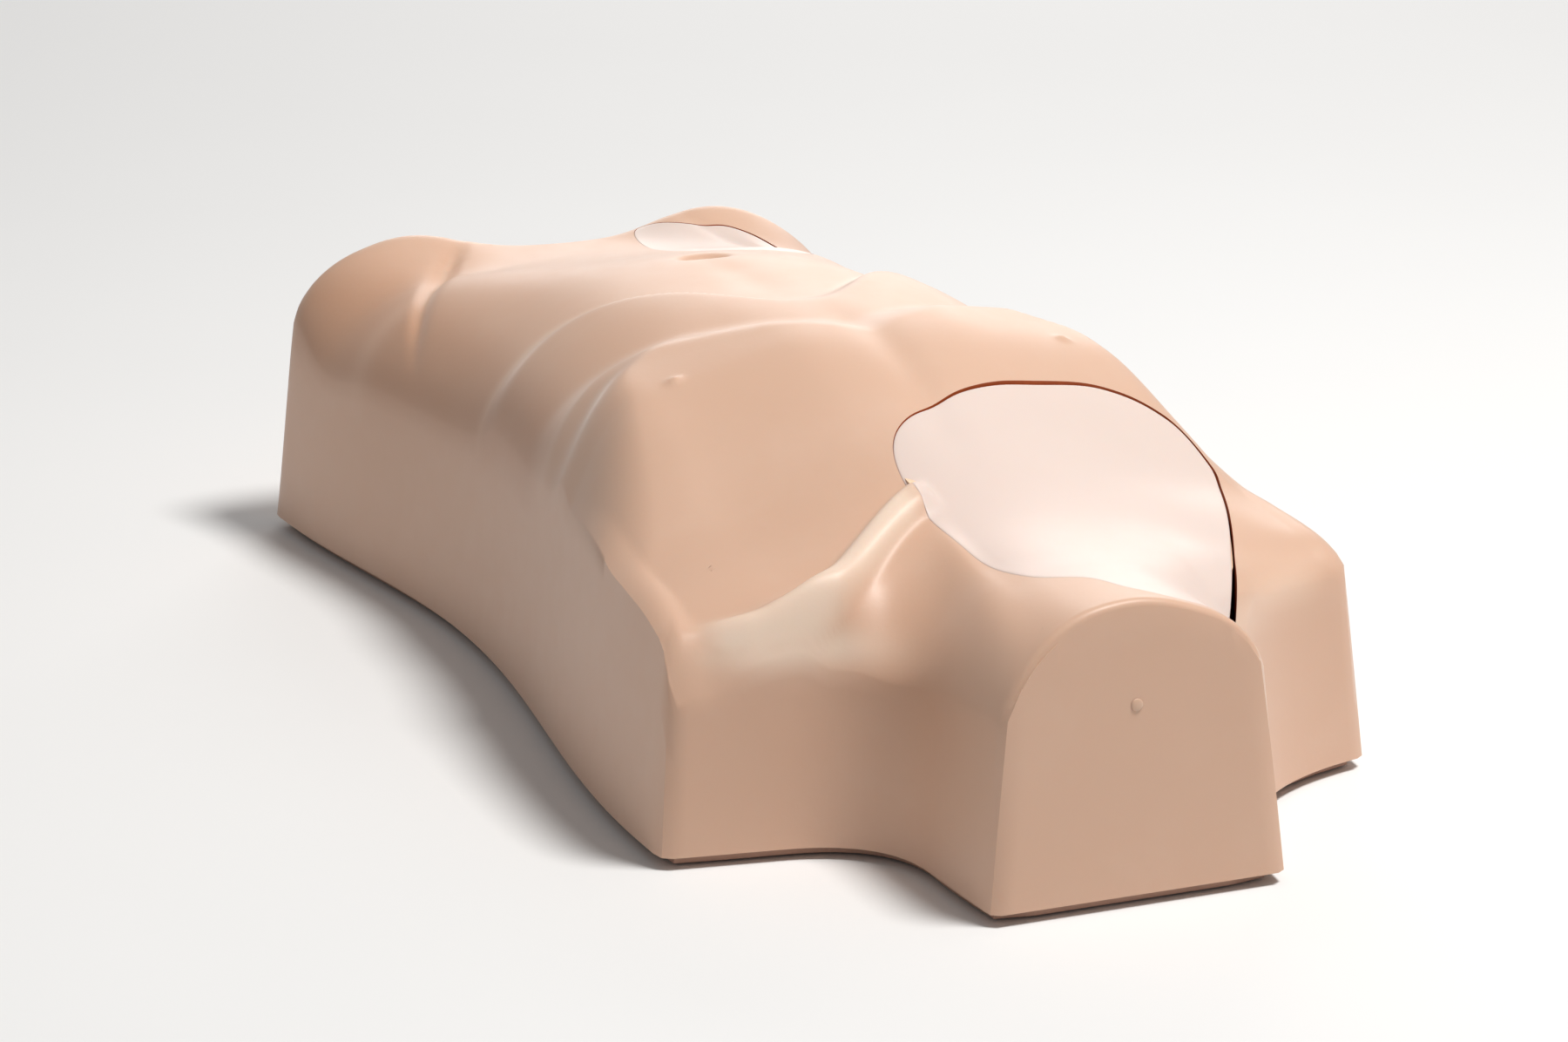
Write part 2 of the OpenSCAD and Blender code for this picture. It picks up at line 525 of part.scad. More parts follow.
module neck_skin() color([0.96, 0.87, 0.82]) insert_skin(neck_edge, neck_middle);
module neck_tissue() color([0.93, 0.80, 0.62]) difference() {
    insert_block(neck_edge, neck_middle, neck_floor_z);
    for (r = neck_runs) channel(r, neck_floor_z);
    clavicle_solid(clavicle_d + 2 * channel_gap);
    clavicle_posts(post_d + 2 * channel_gap);
    spigot_pits(neck_runs, neck_floor_z);
}
module clavicle_core() color([0.95, 0.93, 0.86]) {
    clavicle_solid(clavicle_d);
    clavicle_posts(post_d);
}
module internal_jugular_vein() color([0.35, 0.45, 0.75]) vessel(jugular_run, neck_floor_z);
module external_jugular_vein() color([0.35, 0.45, 0.75]) vessel(external_run, neck_floor_z);
module subclavian_vein() color([0.35, 0.45, 0.75]) vessel(subclavian_run, neck_floor_z);
module carotid_artery() color([0.80, 0.25, 0.22]) vessel(carotid_run, neck_floor_z);
module groin_skin() color([0.96, 0.87, 0.82]) insert_skin(groin_edge, groin_middle);
module groin_tissue() color([0.93, 0.80, 0.62]) difference() {
    insert_block(groin_edge, groin_middle, groin_floor_z);
    for (r = groin_runs) channel(r, groin_floor_z);
    spigot_pits(groin_runs, groin_floor_z);
}
module femoral_vein() color([0.35, 0.45, 0.75]) vessel(femoral_vein_run, groin_floor_z);
module femoral_artery() color([0.80, 0.25, 0.22]) vessel(femoral_artery_run, groin_floor_z);

// Bulkhead spigots: flange and seal over the floor, nut under it, cap on the lower nozzle
module spigots(runs, floor_z) color([0.88, 0.88, 0.86]) for (r = runs)
    for (p = [run_start(r), run_end(r)]) translate([p[0], p[1], floor_z + seal_t]) rotate_extrude($fn = 40)
        polygon([[bore_d / 2, -wall_t - nut_t - neck_l], [thread_d / 2 - 1.5, -wall_t - nut_t - neck_l],
            [thread_d / 2 - 1.5, -wall_t - seal_t - nut_t], [thread_d / 2, -wall_t - seal_t - nut_t], [thread_d / 2, 0],
            [flange_d / 2, 0], [flange_d / 2, flange_t], [nozzle_r(r), flange_t], [nozzle_r(r), flange_t + nozzle_l - 1.5],
            [nozzle_r(r) - 0.6, flange_t + nozzle_l], [bore_d / 2, flange_t + nozzle_l]]);
function nozzle_r(r) = r[5] / 2 - vessel_wall - 0.15;
module spigot_seals(runs, floor_z) color([0.15, 0.15, 0.15]) at_ends(runs) translate([0, 0, floor_z])
    rotate_extrude($fn = 40) translate([thread_d / 2 + thread_gap, 0]) square([3, seal_t]);
module spigot_nuts(runs, floor_z) color([0.88, 0.88, 0.86]) at_ends(runs) translate([0, 0, floor_z - wall_t - nut_t])
    difference() {
        cylinder(d = nut_w / cos(30), h = nut_t, $fn = 6);
        translate([0, 0, -1]) cylinder(d = thread_d + thread_gap, h = nut_t + 2, $fn = 40);
    }
module spigot_caps(runs, floor_z) color([0.75, 0.20, 0.18]) at_ends(runs)
    translate([0, 0, floor_z + seal_t - wall_t - nut_t - neck_l - cap_t]) difference() {
        cylinder(d = thread_d, h = cap_l, $fn = 40);
        translate([0, 0, cap_t]) cylinder(d = thread_d - 3 + thread_gap, h = cap_l, $fn = 40);
    }
module neck_spigots() spigots(neck_runs, neck_floor_z);
module neck_spigot_seals() spigot_seals(neck_runs, neck_floor_z);
module neck_spigot_nuts() spigot_nuts(neck_runs, neck_floor_z);
module neck_spigot_caps() spigot_caps(neck_runs, neck_floor_z);
module groin_spigots() spigots(groin_runs, groin_floor_z);
module groin_spigot_seals() spigot_seals(groin_runs, groin_floor_z);
module groin_spigot_nuts() spigot_nuts(groin_runs, groin_floor_z);
module groin_spigot_caps() spigot_caps(groin_runs, groin_floor_z);

torso_shell();
base_plate();
threaded_inserts();
base_screws();
rubber_feet();
vent_plug();
neck_skin();
neck_tissue();
clavicle_core();
internal_jugular_vein();
external_jugular_vein();
subclavian_vein();
carotid_artery();
neck_spigots();
neck_spigot_seals();
neck_spigot_nuts();
neck_spigot_caps();
groin_skin();
groin_tissue();
femoral_vein();
femoral_artery();
groin_spigots();
groin_spigot_seals();
groin_spigot_nuts();
groin_spigot_caps();
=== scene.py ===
import bpy, json, math
import numpy as np
from mathutils import Matrix, Vector


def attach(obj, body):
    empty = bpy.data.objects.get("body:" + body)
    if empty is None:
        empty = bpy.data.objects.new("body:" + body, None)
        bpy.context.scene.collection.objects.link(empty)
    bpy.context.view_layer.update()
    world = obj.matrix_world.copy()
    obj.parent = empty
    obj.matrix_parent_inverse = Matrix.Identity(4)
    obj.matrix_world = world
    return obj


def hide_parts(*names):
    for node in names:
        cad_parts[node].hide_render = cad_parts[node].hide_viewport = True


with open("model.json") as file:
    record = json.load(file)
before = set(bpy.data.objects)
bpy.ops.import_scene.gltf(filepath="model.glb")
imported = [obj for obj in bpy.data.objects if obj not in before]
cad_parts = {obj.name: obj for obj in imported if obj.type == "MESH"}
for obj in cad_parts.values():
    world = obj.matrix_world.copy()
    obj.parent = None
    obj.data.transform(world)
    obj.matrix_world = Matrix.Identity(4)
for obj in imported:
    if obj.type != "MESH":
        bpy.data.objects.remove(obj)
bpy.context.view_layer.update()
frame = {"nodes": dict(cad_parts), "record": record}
print("frame loaded:", len(frame["nodes"]), "nodes")

mm = 0.001

# ---------------------------------------------------------------- camera
camera = dict(place=(1.0752, 2.37466, 0.86979), yaw=-1.98857875, pitch=0.29309, roll=-0.00702, focal=6000.56,
              width=1800, sensor=36.0)

def addCamera(c):
    data = bpy.data.cameras.new("photoCamera")
    data.sensor_width = c["sensor"]
    data.lens = c["focal"] / c["width"] * c["sensor"]
    data.clip_end = 60
    forward = Vector((math.cos(c["yaw"]) * math.cos(c["pitch"]), math.sin(c["yaw"]) * math.cos(c["pitch"]),
                      -math.sin(c["pitch"])))
    right = forward.cross(Vector((0, 0, 1))).normalized()
    up = right.cross(forward)
    turn = Matrix((right, up, -forward)).transposed() @ Matrix.Rotation(-c["roll"], 3, "Z")
    cam = bpy.data.objects.new("photoCamera", data)
    cam.matrix_world = Matrix.Translation(c["place"]) @ turn.to_4x4()
    bpy.context.scene.collection.objects.link(cam)
    bpy.context.scene.camera = cam

addCamera(camera)

# ---------------------------------------------------------------- form of the torso, in millimetres
# x runs to the torso's left, v from the feet end to the neck, z up
form = dict(total=740.0, body=612.0, hip=356.0, waist=313.0, shoulder=382.0, neckRoot=160.0, neckEnd=154.0,
            slope=math.tan(math.radians(5.6)), wall=3.5, rim=6.0)
rise = dict(groin=154, belly=190, chest=198.5, notch=153, neck=146, shoulder=113, thigh=21, pec=11, rib=9,
            clavicle=8, hollow=6)
spot = dict(waist=245, navel=214, sternum=380, notch=562, shoulder=590, crown=125, thighX=101, thighSpread=47,
            thighReach=68, pec=396, pecFall=0.45, rib=249, ribArch=88, step=38)
middleLine = np.array([[0, rise["groin"]], [50, rise["groin"] + 2], [110, 166], [spot["navel"], rise["belly"]],
    [300, rise["belly"] + 3], [spot["sternum"], rise["chest"]], [430, rise["chest"] - 2], [480, 187], [520, 171],
    [spot["notch"], rise["notch"]], [600, rise["notch"] - 9], [650, rise["neck"] - 4], [740, rise["neck"]]], float)
sideLine = np.array([[0, rise["groin"] - 4], [60, rise["groin"] - 5], [120, 164], [spot["navel"], 171], [300, 177],
    [spot["sternum"], 172], [430, 170], [478, 155], [519, 137], [567, rise["shoulder"] + 13],
    [604, rise["shoulder"] + 2], [640, 104], [740, 100]], float)
sideRound = np.array([[0, 26, 31], [30, 44, 44], [70, 74, 65], [130, 96, 78], [245, 100, 81], [360, 92, 82],
    [402, 38, 38], [430, 34, 40], [476, 30, 22], [505, 26, 12], [535, 14, 6], [740, 10, 6]], float)
headRound, rightHeadRound, neckRound, neckTip, feetRound, endRound = (18, 24), (11, 10), (50, 47), (28, 26), (14, 12), (5, 5)

def ease(t):  # 3t² - 2t³ between 0 and 1
    s = np.clip(t, 0, 1)
    return s * s * (3 - 2 * s)

def bell(u):  # e to the minus u²
    return np.exp(-u * u)

def softMin(a, b, k):  # the smaller of a and b, with a fillet of width k
    h = np.maximum(k - np.abs(a - b), 0) / k
    return np.minimum(a, b) - h * h * k / 4

def softMax(a, b, k):
    return -softMin(-a, -b, k)

def along(v, table, column=1):  # cubic through the table's stations, slopes from the neighbours
    xs, ys = table[:, 0], table[:, column]
    below, above = np.maximum(np.arange(len(xs)) - 1, 0), np.minimum(np.arange(len(xs)) + 1, len(xs) - 1)
    m = (ys[above] - ys[below]) / (xs[above] - xs[below])
    i = np.clip(np.searchsorted(xs, v, side="right") - 1, 0, len(xs) - 2)
    h = xs[i + 1] - xs[i]
    t = np.clip((v - xs[i]) / h, 0, 1)
    return ((1 + 2 * t) * (1 - t) ** 2 * ys[i] + t * (1 - t) ** 2 * h * m[i]
            + t * t * (3 - 2 * t) * ys[i + 1] + t * t * (t - 1) * h * m[i + 1])

def halfWidth(v):  # half cosine from hip to waist, and another from waist to shoulder
    wave = lambda t: (1 - np.cos(np.pi * np.clip(t, 0, 1))) / 2
    hip, waist, shoulder = form["hip"] / 2, form["waist"] / 2, form["shoulder"] / 2
    return np.where(v < spot["waist"], hip + (waist - hip) * wave(v / spot["waist"]),
                    waist + (shoulder - waist) * wave((v - spot["waist"]) / (spot["shoulder"] - spot["waist"])))

def fromSide(x, v):
    return halfWidth(v) - np.abs(x)

def fromHead(x, v):  # the shoulder wall and the neck's side, filleted, wider on the right
    neck = form["neckRoot"] / 2 + (form["neckEnd"] - form["neckRoot"]) / 2 * np.clip((v - form["body"] - 68) / 60, 0, 1)
    return softMax(form["body"] + 0.16 * (form["shoulder"] / 2 - np.abs(x)) - v, neck - np.abs(x),
                   52 + 68 * ease((10 - x) / 40))

def fromWall(x, v):  # distance in from the footprint's edge
    return softMin(softMin(softMin(fromSide(x, v), fromHead(x, v), 7), v, 8), form["total"] - v, endRound[0])

def ribLine(a):
    return spot["rib"] + spot["ribArch"] * bell(a / 58)

def claviclePath(a):  # how far headwards the collar bone's middle lies at a
    return spot["notch"] - 4 + 50 * ease((a - 20) / 104) - 9 * ease((a - 130) / 40)

def relief(x, v):  # two height curves blended across, plus the forms of the body
    a = np.abs(x)
    left = ease((x + 20) / 60)
    m = along(v, middleLine)
    u = np.minimum(1.3, a / spot["crown"])
    z = m + (along(v, sideLine) - m) * (u * u + ease(u)) / 2
    z = z + rise["thigh"] * bell((a - spot["thighX"] + 12 * ease(-x / 60)) / spot["thighSpread"]) * (1 - ease((v - 5) / spot["thighReach"]))
    steps = rise["pec"] * ease((v - spot["pec"] + spot["pecFall"] * a) / spot["step"]) \
        * (1 - ease((v - 430) / 110)) * (1 - ease((a - 120) / 60))
    steps = steps + rise["rib"] * ease((v - ribLine(a)) / 27) \
        * (1 - ease((v - 300) / 130))
    z = z + steps * (0.55 + 0.45 * ease(a / 50))
    z = z - 2 * bell(x / 11) * ease((v - 350) / 60) * (1 - ease((v - 500) / 60))
    z = z - 1.5 * bell(x / 14) * ease((v - 225) / 30) * (1 - ease((v - 330) / 30))
    z = z - (2 + 2.5 * left) * bell((v + 28 - a / 2 - a * a / 200) / 9) * ease((a - 60) / 25) * (1 - ease((a - 128) / 25))
    z = z + ease((x - 22) / 16) * rise["clavicle"] * bell(((v - claviclePath(a)) / 10) ** 2) \
        * ease((a - 12) / 18) * (1 - ease((a - 140) / 30))
    z = z - rise["hollow"] * bell(np.hypot((x - 70) / 34, (v - form["body"] - 14) / 24))
    z = z + 3 * bell((x - 26 - 0.22 * (v - spot["notch"])) / 12) * ease((v - spot["notch"]) / 50) \
        * (1 - ease((v - 690) / 50)) * ease((x - 24) / 14)
    z = z + 6 * left * bell(np.hypot((x - 114) / 28, (v - 603) / 11))
    z = z + 5 * bell(np.hypot((x + 166) / 22, (v - 590) / 22))
    z = z + 10 * bell(np.hypot((x + 84) / 26, (v - 640) / 32))
    z = z - 9 * bell(np.hypot(x / 12, (v - spot["navel"]) / 8) ** 1.5)
    z = z - 3 * ease(-x / 55) * ease((v - 650) / 80)
    return z + 2 * bell(np.hypot(a - 108, v - 430) / 3.5)

def roll(w, flat=0.0):  # quarter of a superellipse of power 2.3, or a parabola where flat is 1
    s = 1 - np.clip(w, 0, 1)
    return 1 - flat - (1 - flat) * (1 - s ** 2.3) ** (1 / 2.3) + flat * s * s

def drop(top, d, run, fall, flat=0.0):
    return fall * roll((d - (top - fall) * form["slope"]) / run, flat)

def deck(x, v):  # relief less the rounding down to each wall
    top = relief(x, v)
    left = ease((x + 20) / 60)
    n = np.maximum(ease((v - form["body"] - 20) / 28), ease((114 - 16 * left - np.abs(x)) / 41))
    tip = ease((v - 650) / 80) * ease((20 - x) / 40)
    start = [r + left * (e - r) for r, e in zip(rightHeadRound, headRound)]
    head = [a + n * (b + tip * (c - b) - a) for a, b, c in zip(start, neckRound, neckTip)]
    soft = 30 * ease(-x / 60) * (1 - ease(v / 90))
    side = drop(top, fromSide(x, v), along(v, sideRound) + soft, along(v, sideRound, 2) + soft, ease((v - 365) / 36))
    return (top - side
            - drop(top, fromHead(x, v), *head, (1 - n) * left) - drop(top, v, *feetRound) - drop(top, form["total"] - v, *endRound))

def topZ(x, v, sunk=0.0):  # the lower of the deck and the leaning wall
    return np.minimum(deck(x, v) - sunk, (fromWall(x, v) - sunk) / form["slope"])

def shift(v, z):
    return 2.5 * ease((v - 620) / 100) + 3 * (1 - ease((v - 10) / 140)) * ease(z / 120)

def place(x, v, z):  # to metres, in the frame
    return np.stack([x + shift(v, z), v - form["total"] / 2, z], -1) * mm

# ---------------------------------------------------------------- mesh helpers
def newPiece(name, points, faces, smooth=40):
    mesh = bpy.data.meshes.new(name)
    mesh.from_pydata(np.asarray(points).reshape(-1, 3).tolist(), [], [list(f) for f in faces])
    mesh.validate()
    piece = bpy.data.objects.new(name, mesh)
    bpy.context.scene.collection.objects.link(piece)
    shade(piece, smooth)
    return piece

def shade(piece, angle):
    mesh = piece.data
    mesh.polygons.foreach_set("use_smooth", np.ones(len(mesh.polygons), bool))
    mesh.set_sharp_from_angle(angle=math.radians(angle))
    mesh.update()

def gridFaces(rows, columns, start=0, closed=False, flip=False):
    # quads between neighbouring points of a rows by columns grid; closed joins the last column to the first
    r, c = np.meshgrid(np.arange(rows - 1), np.arange(columns if closed else columns - 1), indexing="ij")
    d = (c + 1) % columns
    quads = np.stack([r * columns + c, r * columns + d, (r + 1) * columns + d, (r + 1) * columns + c], -1).reshape(-1, 4)
    return (quads[:, ::-1] if flip else quads) + start

def combine(piece, other, how):
    step = piece.modifiers.new(how, "BOOLEAN")
    step.operation, step.solver, step.material_mode, step.object = how, "MANIFOLD", "TRANSFER", other
    graph = bpy.context.evaluated_depsgraph_get()
    mesh = bpy.data.meshes.new_from_object(piece.evaluated_get(graph))
    piece.modifiers.clear()
    old, piece.data = piece.data, mesh
    mesh.name = piece.name
    bpy.data.meshes.remove(old)
    bpy.data.objects.remove(other)

def prisms(name, outlines):
    # upright prisms: each outline (x, y in mm, counter-clockwise) from its low to its high z
    points, faces = [], []
    for outline, low, high in outlines:
        n, start = len(outline), len(points)
        low = np.broadcast_to(np.asarray(low, float), (n, 2 if np.ndim(low) > 1 else 1)) if np.ndim(low) > 1 else low
        points += [(x * mm, y * mm, low * mm) for x, y in outline] + [(x * mm, y * mm, high * mm) for x, y in outline]
        faces += [tuple(range(start + n - 1, start - 1, -1)), tuple(range(start + n, start + 2 * n))]
        faces += [(start + i, start + (i + 1) % n, start + n + (i + 1) % n, start + n + i) for i in range(n)]
    return newPiece(name, points, faces)

def disc(x, y, radius, count=24):
    a = np.arange(count) * 2 * np.pi / count
    return np.stack([x + radius * np.cos(a), y + radius * np.sin(a)], -1)

# ---------------------------------------------------------------- shell
shellLook = dict(rows=8, wallCells=10, topCells=74, innerCells=14)
stations = np.array([[0, 30, -90, 36, 8], [125, 30, -90, 54, 5], [128, 46, 0, 62, 30], [140, 540, 0, 530, 5],
    [140, 556, 90, 544, 3], [118, 562, 80, 550, 3], [92, 576, 68, 562, 3], [72, 598, 54, 584, 3], [58, 624, 38, 612, 3],
    [48, 652, 20, 644, 3], [42, 680, 5, 676, 3], [40, 712, 0, 700, 3], [40, 716, 90, 706, 5], [0, 722, 90, 714, 0]], float)

def ringRows(per):
    # rows from station to station; closer together where a landmark asks for it
    out = []
    for a, b in zip(stations[:-1], stations[1:]):
        n = int(math.ceil(a[4] * per))
        t = np.linspace(0, 1, 400)
        v = a[1] + t * (b[1] - a[1])
        weight = 1 + (a[4] == 30) * (1.6 * bell((v - 430) / 14) + 1.2 * bell((v - spot["navel"]) / 14))
        total = np.concatenate([[0], np.cumsum((weight[1:] + weight[:-1]) / 2)])
        t = np.interp(np.arange(n) / n * total[-1], total, t)[:, None]
        out.append(a[:4] + t * (b[:4] - a[:4]))
    return np.concatenate(out + [stations[-1:, :4]])

def surfaceRows(rows, side, sunk, low, wallCells, topCells):
    # distance in from the rim along each row, then the point there, then its height
    anchor = rows[:, :2]
    head = np.stack([np.cos(np.radians(rows[:, 2])), np.sin(np.radians(rows[:, 2]))], -1)
    lo, hi = np.zeros(len(rows)), np.full(len(rows), 110.0)
    for turn in range(30):
        d = (lo + hi) / 2
        p = anchor + d[:, None] * head
        inside = fromWall(side * p[:, 0], p[:, 1]) > sunk + low * form["slope"]
        lo, hi = np.where(inside, d, lo), np.where(inside, hi, d)
    out = lo[:, None, None]
    spine = np.stack([np.zeros(len(rows)), rows[:, 3]], -1)
    span = np.maximum(np.linalg.norm(spine - anchor, axis=1), 0.01)

    def at(d):
        onRay = anchor[:, None] + (out - d[..., None]) * head[:, None]
        inward = anchor[:, None] + ((spine - anchor) / span[:, None])[:, None] * (d[..., None] - out)
        return np.where(d[..., None] < out, onRay, inward)

    near, far = np.zeros(len(rows)), np.minimum(out[:, 0, 0], 34.0)
    for turn in range(24):
        d = (near + far) / 2
        p = at(d[:, None])[:, 0]
        wall = fromWall(side * p[:, 0], p[:, 1]) / form["slope"] < deck(side * p[:, 0], p[:, 1])
        near, far = np.where(wall, d, near), np.where(wall, far, d)
    k = np.arange(wallCells + topCells)
    edge, run = far[:, None], (out[:, 0, 0] + span)[:, None]
    d = np.where(k <= wallCells, edge * k / wallCells,
                 edge + (run - edge) * (np.maximum(k - wallCells, 0) / topCells) ** 1.2)
    p = at(d)
    x, v = side * p[..., 0], p[..., 1]
    z = topZ(x, v, sunk)
    z[:, 0] = low
    return place(x, v, z)

def dome(rows, sunk, low, wallCells, topCells):
    # both sides' rows as one ring, and the spine where they meet
    left, right = (surfaceRows(rows, side, sunk, low, wallCells, topCells) for side in (1, -1))
    ring = np.concatenate([left, right[-2:0:-1]])
    spine = place(np.zeros(len(rows)), rows[:, 3], topZ(np.zeros(len(rows)), rows[:, 3], sunk))
    return ring, spine

def domeFaces(count, n, per, start, flip):
    def spineOf(r):
        r = r % count
        return start + count * per + np.where(r < n, r, count - r)
    quads = gridFaces(count, per, start)
    last = np.arange(per - 1)
    closing = np.stack([start + (count - 1) * per + last, start + (count - 1) * per + last + 1,
                        start + last + 1, start + last], -1)
    r = np.arange(count)
    edge = np.stack([start + r * per + per - 1, spineOf(r), spineOf(r + 1), start + ((r + 1) % count) * per + per - 1], -1)
    faces = [list(dict.fromkeys(f)) for f in np.concatenate([quads, closing, edge]).tolist()]
    return [f[::-1] for f in faces] if flip else faces

def buildShell(name, look):
    rows = ringRows(look["rows"] / 1.8)
    n, count = len(rows), 2 * len(rows) - 2
    outerPer, innerPer = look["wallCells"] + look["topCells"], look["innerCells"] + 2
    outer, outerSpine = dome(rows, 0.0, form["rim"], look["wallCells"], look["topCells"])
    inner, innerSpine = dome(rows, form["wall"], form["rim"], 2, look["innerCells"])
    points = np.concatenate([outer.reshape(-1, 3), outerSpine, inner.reshape(-1, 3), innerSpine])
    split = count * outerPer + n
    r = np.arange(count)
    s = (r + 1) % count
    rim = np.stack([r * outerPer, split + r * innerPer, split + s * innerPer, s * outerPer], -1)
    faces = domeFaces(count, n, outerPer, 0, True) + domeFaces(count, n, innerPer, split, False) + rim.tolist()
    return newPiece(name, points, faces)

# outlines of the inserts: x and v in mm, then how far the shell and the skin stand apart there
neckInsert = dict(floor=86, middle=(-48, 590), spigots=[(-34, 694), (-34, 566), (-62, 668), (-66, 602), (-128, 522),
                  (-56, 540), (-12, 656), (-14, 548)],
    edge=[(27, 516), (36, 555), (33, 612), (24, 660), (4, 682), (-5, 704), (-22, 717), (-44, 714), (-59, 702),
          (-73, 680), (-93, 649), (-112, 612), (-130, 575), (-148, 532), (-155, 506), (-145, 483), (-108, 470),
          (-62, 481), (-10, 497)],
    gap=[0.15, 0.12, 0.15, 0.2, 0.2, 0.25, 0.3, 0.6, 1.8, 3.0, 2.8, 1.8, 1.3, 1.2, 1.6, 1.9, 1.7, 2.3, 1.0], lip=0.9)
groinInsert = dict(floor=96, middle=(-72, 92), spigots=[(-60, 64), (-60, 124), (-84, 60), (-84, 120)],
    edge=[(-38, 24), (-30, 60), (-33, 110), (-58, 143), (-84, 145), (-108, 118), (-114, 84), (-108, 57), (-92, 43), (-66, 35)],
    gap=[0.12, 0.12, 0.12, 0.12, 0.2, 1.6, 2.2, 1.7, 0.8, 0.3], lip=0.45)

def smoothLoop(points, per):
    # closed curve: each span is a cubic that leaves and enters along its neighbours' chord
    p = np.asarray(points, float)
    if p.ndim == 1:
        p = p[:, None]
    a, b, c, d = (np.roll(p, k, 0)[:, None] for k in (1, 0, -1, -2))
    t = (np.arange(per) / per)[None, :, None]
    return (0.5 * (2 * b + t * (c - a) + t ** 2 * (2 * a - 5 * b + 4 * c - d)
                   + t ** 3 * (3 * b - a - 3 * c + d))).reshape(-1, p.shape[1])

def insetLoop(loop, amount):
    e = np.roll(loop, -1, 0) - np.roll(loop, 1, 0)
    normal = np.stack([-e[:, 1], e[:, 0]], -1) / np.linalg.norm(e, axis=1)[:, None]
    return loop + np.broadcast_to(np.asarray(amount, float).reshape(-1, 1), (len(loop), 1)) * normal

def insertZ(x, v, sunk=0.0):
    return topZ(x - shift(v, 150), v, sunk)

def insertPoint(x, v, z):
    return np.stack([x, v - form["total"] / 2, z], -1) * mm

def pocketBlock(name, insert, sunk):
    loop = insetLoop(smoothLoop(insert["edge"], 8), -form["wall"])
    middle = np.array(insert["middle"], float)
    f = np.concatenate([np.linspace(1, 0.04, 22)])[:, None, None]
    plan = middle + f * (loop - middle)
    n, m = plan.shape[:2]
    top = insertPoint(plan[..., 0], plan[..., 1], insertZ(plan[..., 0], plan[..., 1], sunk))
    low = insertPoint(loop[:, 0], loop[:, 1], np.full(m, insert["floor"] - form["wall"]))
    points = np.concatenate([top.reshape(-1, 3), low])
    i = np.arange(m)
    skirt = np.stack([n * m + i, n * m + (i + 1) % m, (i + 1) % m, i], -1)
    faces = gridFaces(n, m, closed=True).tolist() + skirt.tolist()
    faces += [[(n - 1) * m + k for k in range(m)], [n * m + k for k in range(m - 1, -1, -1)]]
    return newPiece(name, points, faces)

fixings = dict(boss=7.0, height=26, hole=3.6, base=15.0)

seamVinyl = bpy.data.materials.new("seamVinyl")
shell = buildShell("torsoShell", shellLook)
shell.data.materials.append(bpy.data.materials.new("shellPlain"))
print("shell surface:", len(shell.data.polygons), "faces")
for insert in (neckInsert, groinInsert):
    combine(shell, pocketBlock("pocket", insert, 1.1), "UNION")
    loop = smoothLoop(insert["edge"], 12) - np.array([0, form["total"] / 2])
    opening = prisms("opening", [(loop, insert["floor"], 300)])
    opening.data.materials.append(seamVinyl)
    combine(shell, opening, "DIFFERENCE")
    holes = [(disc(x, v - form["total"] / 2, 5.3), insert["floor"] - 6, insert["floor"] + 2) for x, v in insert["spigots"]]
    combine(shell, prisms("holes", holes), "DIFFERENCE")
def paintLightAndShade(piece):
    # painted highlights along the collar bone, the shoulder's edge and the ribs, and painted shade down the flanks and
    # in the hollow between neck and shoulder
    p = np.empty(3 * len(piece.data.vertices))
    piece.data.vertices.foreach_get("co", p)
    p = p.reshape(-1, 3) / mm
    v, z = p[:, 1] + form["total"] / 2, p[:, 2]
    x = p[:, 0] - shift(v, z)
    a, left = np.abs(x), ease((x - 22) / 16)
    # painted highlight along the collar bone
    paintedCollarHighlight = left * bell(((v - claviclePath(a)) / 11) ** 2) * ease((a - 30) / 18) * (1 - ease((a - 150) / 20)) * ease((z - 96) / 10)
    # painted highlight on the shoulder's edge
    tip = bell(((a - 120) / 42) ** 2) * bell((z - 101) / 9) * ease((v - 586) / 14) * (0.4 + 0.6 * left)
    # painted highlight along the rib arc
    paintedRibHighlight = bell((v - ribLine(a) - 2) / 5) * ease((z - 100) / 30) * ease((a - 20) / 20) * 0.35
    # all the painted highlights together
    pale = np.maximum(np.maximum(paintedCollarHighlight, tip), paintedRibHighlight)
    # painted shade along the upper rounding of the flanks
    side = bell(((z - 128) / 26) ** 2) * ease((a - 95) / 25) * (1 - ease((v - 330) / 40)) * ease((v - 8) / 20)
    deep = side * (1 - 0.6 * bell((v - 100) / 10)) * (1 - pale)
    # painted shade in the hollow between neck and shoulder
    paintedHollowShade = 0.8 * bell(np.hypot((x - 84) / 26, (v - 655) / 45)) * ease((z - 30) / 60)
    for key, value in (("pale", pale), ("deep", np.maximum(deep, paintedHollowShade))):
        piece.data.attributes.new(key, "FLOAT", "POINT").data.foreach_set("value", value.astype(np.float32))

paintLightAndShade(shell)
shade(shell, 40)
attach(shell, "root")
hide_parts("torso_shell")
print("shell cut:", len(shell.data.polygons), "faces")

# ---------------------------------------------------------------- insert skins
skinLook = dict(perSpan=14, rings=56, thick=3.0)

